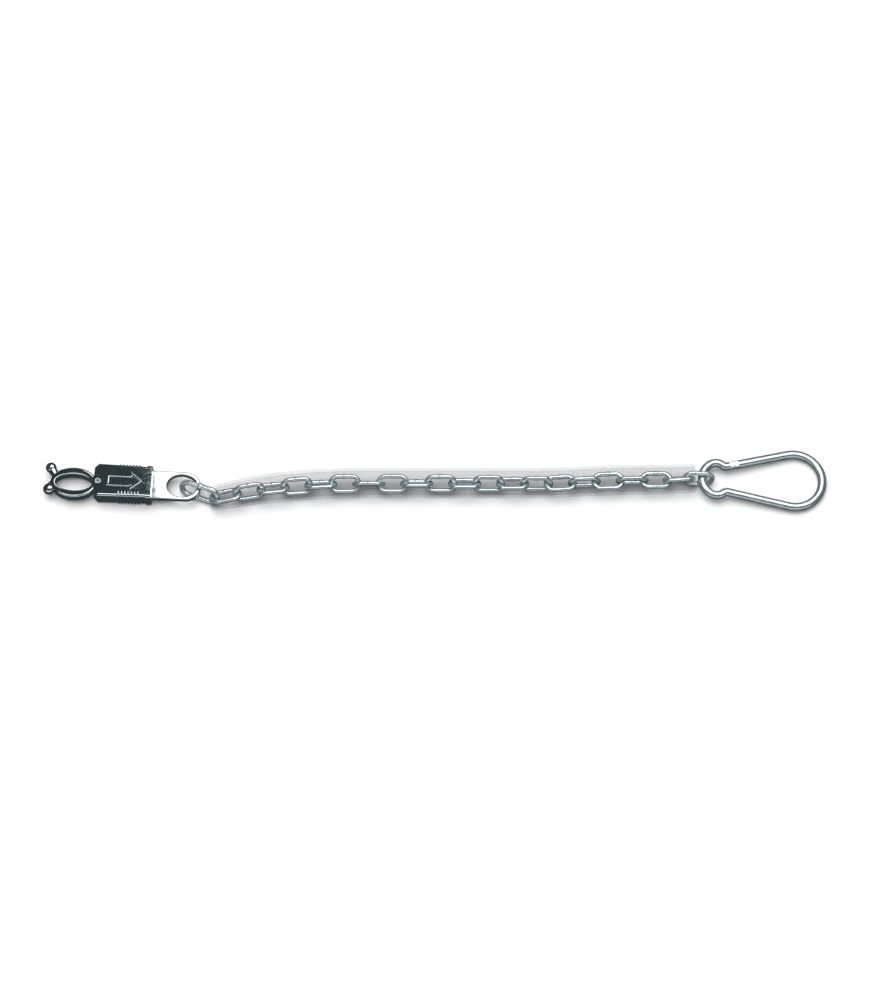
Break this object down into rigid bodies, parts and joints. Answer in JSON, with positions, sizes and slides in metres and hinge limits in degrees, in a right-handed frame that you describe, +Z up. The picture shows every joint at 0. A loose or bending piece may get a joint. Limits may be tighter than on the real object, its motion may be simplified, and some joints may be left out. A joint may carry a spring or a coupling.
{
  "type": "tie chain with panic snap",
  "caption": "Chain in a clear hose with a chromed double-jaw panic snap at one end and a zinc-plated spring hook at the other.",
  "frame": {"origin": "middle of the bottom of the whole object's box, on the surface it lies on", "axes": "+X along the chain from the panic snap to the spring hook, +Z up, with the object lying flat"},
  "size_m": [0.55, 0.0472, 0.021],
  "materials": {
    "snap_chrome": "polished chrome plate",
    "zinc": "bright zinc plate",
    "clear_hose": "clear, slightly cloudy soft plastic",
    "spring_steel": "drawn wire",
    "pin_steel": "bright plated pin"
  },
  "bodies": {
    "snap_frame": {"snap_shank": "snap_chrome", "jaw_pin": "pin_steel", "sleeve_stop_pin": "pin_steel", "sleeve_spring_far": "spring_steel", "sleeve_spring_near": "spring_steel"},
    "sleeve": {"snap_sleeve": "snap_chrome"},
    "far_jaw": {"jaw_far": "snap_chrome"},
    "near_jaw": {"jaw_near": "snap_chrome"},
    "link_01": {"chain_link_01": "zinc"},
    "link_02": {"chain_link_02": "zinc", "hose_length_01": "clear_hose"},
    "link_03": {"chain_link_03": "zinc", "hose_length_02": "clear_hose"},
    "link_04": {"chain_link_04": "zinc", "hose_length_03": "clear_hose"},
    "link_05": {"chain_link_05": "zinc", "hose_length_04": "clear_hose"},
    "link_06": {"chain_link_06": "zinc", "hose_length_05": "clear_hose"},
    "link_07": {"chain_link_07": "zinc", "hose_length_06": "clear_hose"},
    "link_08": {"chain_link_08": "zinc", "hose_length_07": "clear_hose"},
    "link_09": {"chain_link_09": "zinc", "hose_length_08": "clear_hose"},
    "link_10": {"chain_link_10": "zinc", "hose_length_09": "clear_hose"},
    "link_11": {"chain_link_11": "zinc", "hose_length_10": "clear_hose"},
    "link_12": {"chain_link_12": "zinc", "hose_length_11": "clear_hose"},
    "link_13": {"chain_link_13": "zinc", "hose_length_12": "clear_hose"},
    "link_14": {"chain_link_14": "zinc", "hose_length_13": "clear_hose"},
    "link_15": {"chain_link_15": "zinc", "hose_length_14": "clear_hose"},
    "link_16": {"chain_link_16": "zinc", "hose_length_15": "clear_hose"},
    "link_17": {"chain_link_17": "zinc", "hose_length_16": "clear_hose"},
    "link_18": {"chain_link_18": "zinc", "hose_length_17": "clear_hose"},
    "link_19": {"chain_link_19": "zinc", "hose_length_18": "clear_hose"},
    "link_20": {"chain_link_20": "zinc", "hose_length_19": "clear_hose"},
    "link_21": {"chain_link_21": "zinc", "hose_length_20": "clear_hose"},
    "link_22": {"chain_link_22": "zinc"},
    "hook": {"hook_body": "zinc", "gate_rivet": "pin_steel"},
    "gate": {"hook_gate": "zinc", "gate_latch_pin": "pin_steel", "gate_plunger": "pin_steel", "gate_spring": "spring_steel"}
  },
  "joints": [
    {"name": "sleeve_slide", "type": "slide", "parent": "snap_frame", "child": "sleeve", "axis": [0.9986, -0.0523, 0], "range_m": [0, 0.009], "stiffness_N_per_m": 450, "springref_m": -0.012, "deforming": ["sleeve_spring_far", "sleeve_spring_near"]},
    {"name": "far_jaw_swing", "type": "hinge", "parent": "snap_frame", "child": "far_jaw", "pos_m": [-0.23639, -0.00237, 0.0073], "axis": [0, 0, -1], "range_deg": [0, 36], "deforming": ["sleeve_spring_far", "sleeve_spring_near"]},
    {"name": "near_jaw_swing", "type": "hinge", "parent": "snap_frame", "child": "near_jaw", "pos_m": [-0.23639, -0.00237, 0.0073], "axis": [0, 0, 1], "range_deg": [0, 36], "deforming": ["sleeve_spring_far", "sleeve_spring_near"]},
    {"name": "link_01_swing", "type": "hinge", "parent": "snap_frame", "child": "link_01", "pos_m": [-0.16594, -0.00907, 0.0073], "axis": [0.0523, 0.9986, 0], "range_deg": [-22, 12]},
    {"name": "link_02_swing", "type": "hinge", "parent": "link_01", "child": "link_02", "pos_m": [-0.15264, -0.01418, 0.00855], "axis": [0.0964, 0.4659, 0.8796], "range_deg": [-12, 9]},
    {"name": "link_03_swing", "type": "hinge", "parent": "link_02", "child": "link_03", "pos_m": [-0.13695, -0.01113, 0.0093], "axis": [-0.1445, 0.8629, -0.4843], "range_deg": [-12, 12]},
    {"name": "link_04_swing", "type": "hinge", "parent": "link_03", "child": "link_04", "pos_m": [-0.12041, -0.00821, 0.0093], "axis": [-0.0971, 0.5507, 0.829], "range_deg": [-10, 12]},
    {"name": "link_05_swing", "type": "hinge", "parent": "link_04", "child": "link_05", "pos_m": [-0.1037, -0.00645, 0.0093], "axis": [-0.0846, 0.8046, -0.5878], "range_deg": [-12, 12]},
    {"name": "link_06_swing", "type": "hinge", "parent": "link_05", "child": "link_06", "pos_m": [-0.08697, -0.00499, 0.0093], "axis": [-0.0637, 0.7286, 0.682], "range_deg": [-12, 12]},
    {"name": "link_07_swing", "type": "hinge", "parent": "link_06", "child": "link_07", "pos_m": [-0.07019, -0.00411, 0.0093], "axis": [-0.035, 0.6682, -0.7431], "range_deg": [-12, 12]},
    {"name": "link_08_swing", "type": "hinge", "parent": "link_07", "child": "link_08", "pos_m": [-0.05339, -0.00382, 0.0093], "axis": [-0.0154, 0.8828, 0.4695], "range_deg": [-12, 12]},
    {"name": "link_09_swing", "type": "hinge", "parent": "link_08", "child": "link_09", "pos_m": [-0.03659, -0.00382, 0.0093], "axis": [0, -0.3584, 0.9336], "range_deg": [-12, 12]},
    {"name": "link_10_swing", "type": "hinge", "parent": "link_09", "child": "link_10", "pos_m": [-0.01979, -0.00382, 0.0093], "axis": [0, 0.9063, 0.4226], "range_deg": [-12, 12]},
    {"name": "link_11_swing", "type": "hinge", "parent": "link_10", "child": "link_11", "pos_m": [-0.00299, -0.00382, 0.0093], "axis": [0, 0.6157, -0.788], "range_deg": [-12, 12]},
    {"name": "link_12_swing", "type": "hinge", "parent": "link_11", "child": "link_12", "pos_m": [0.01381, -0.00382, 0.0093], "axis": [0, 0.7071, 0.7071], "range_deg": [-12, 12]},
    {"name": "link_13_swing", "type": "hinge", "parent": "link_12", "child": "link_13", "pos_m": [0.03061, -0.00382, 0.0093], "axis": [0, 0.766, -0.6428], "range_deg": [-12, 12]},
    {"name": "link_14_swing", "type": "hinge", "parent": "link_13", "child": "link_14", "pos_m": [0.04741, -0.00382, 0.0093], "axis": [0, 0.6018, 0.7986], "range_deg": [-12, 12]},
    {"name": "link_15_swing", "type": "hinge", "parent": "link_14", "child": "link_15", "pos_m": [0.06421, -0.00382, 0.0093], "axis": [0, 0.8746, -0.4848], "range_deg": [-12, 12]},
    {"name": "link_16_swing", "type": "hinge", "parent": "link_15", "child": "link_16", "pos_m": [0.08101, -0.00382, 0.0093], "axis": [0, 0.4067, 0.9135], "range_deg": [-12, 12]},
    {"name": "link_17_swing", "type": "hinge", "parent": "link_16", "child": "link_17", "pos_m": [0.09779, -0.00294, 0.0093], "axis": [-0.0515, 0.9835, -0.1736], "range_deg": [-12, 12]},
    {"name": "link_18_swing", "type": "hinge", "parent": "link_17", "child": "link_18", "pos_m": [0.11456, -0.00206, 0.0093], "axis": [-0.0037, 0.0697, 0.9976], "range_deg": [-12, 12]},
    {"name": "link_19_swing", "type": "hinge", "parent": "link_18", "child": "link_19", "pos_m": [0.13135, -0.00147, 0.0093], "axis": [-0.0349, 0.998, 0.0523], "range_deg": [-12, 12]},
    {"name": "link_20_swing", "type": "hinge", "parent": "link_19", "child": "link_20", "pos_m": [0.14815, -0.00118, 0.0093], "axis": [0.0018, -0.1045, 0.9945], "range_deg": [-12, 12]},
    {"name": "link_21_swing", "type": "hinge", "parent": "link_20", "child": "link_21", "pos_m": [0.16495, -0.00089, 0.0093], "axis": [-0.0174, 0.996, -0.0872], "range_deg": [-12, 12]},
    {"name": "link_22_swing", "type": "hinge", "parent": "link_21", "child": "link_22", "pos_m": [0.18101, 0.00024, 0.0093], "axis": [-0.0317, 0.4529, -0.891], "range_deg": [-3, 10]},
    {"name": "hook_swing", "type": "hinge", "parent": "link_22", "child": "hook", "pos_m": [0.18731, 0.00057, 0.00773], "axis": [0, 1, 0], "range_deg": [-45, 45]},
    {"name": "gate_swing", "type": "hinge", "parent": "hook", "child": "gate", "pos_m": [0.21016, 0.01149, 0.00645], "axis": [-0.0557, 0, -0.9984], "range_deg": [0, 26], "stiffness_Nm_per_rad": 0.1, "springref_deg": -28.65}
  ],
  "couplings": [
    {"joint": "far_jaw_swing", "follows": "sleeve_slide", "rad_per_m": 67.874},
    {"joint": "near_jaw_swing", "follows": "sleeve_slide", "rad_per_m": 67.874}
  ]
}
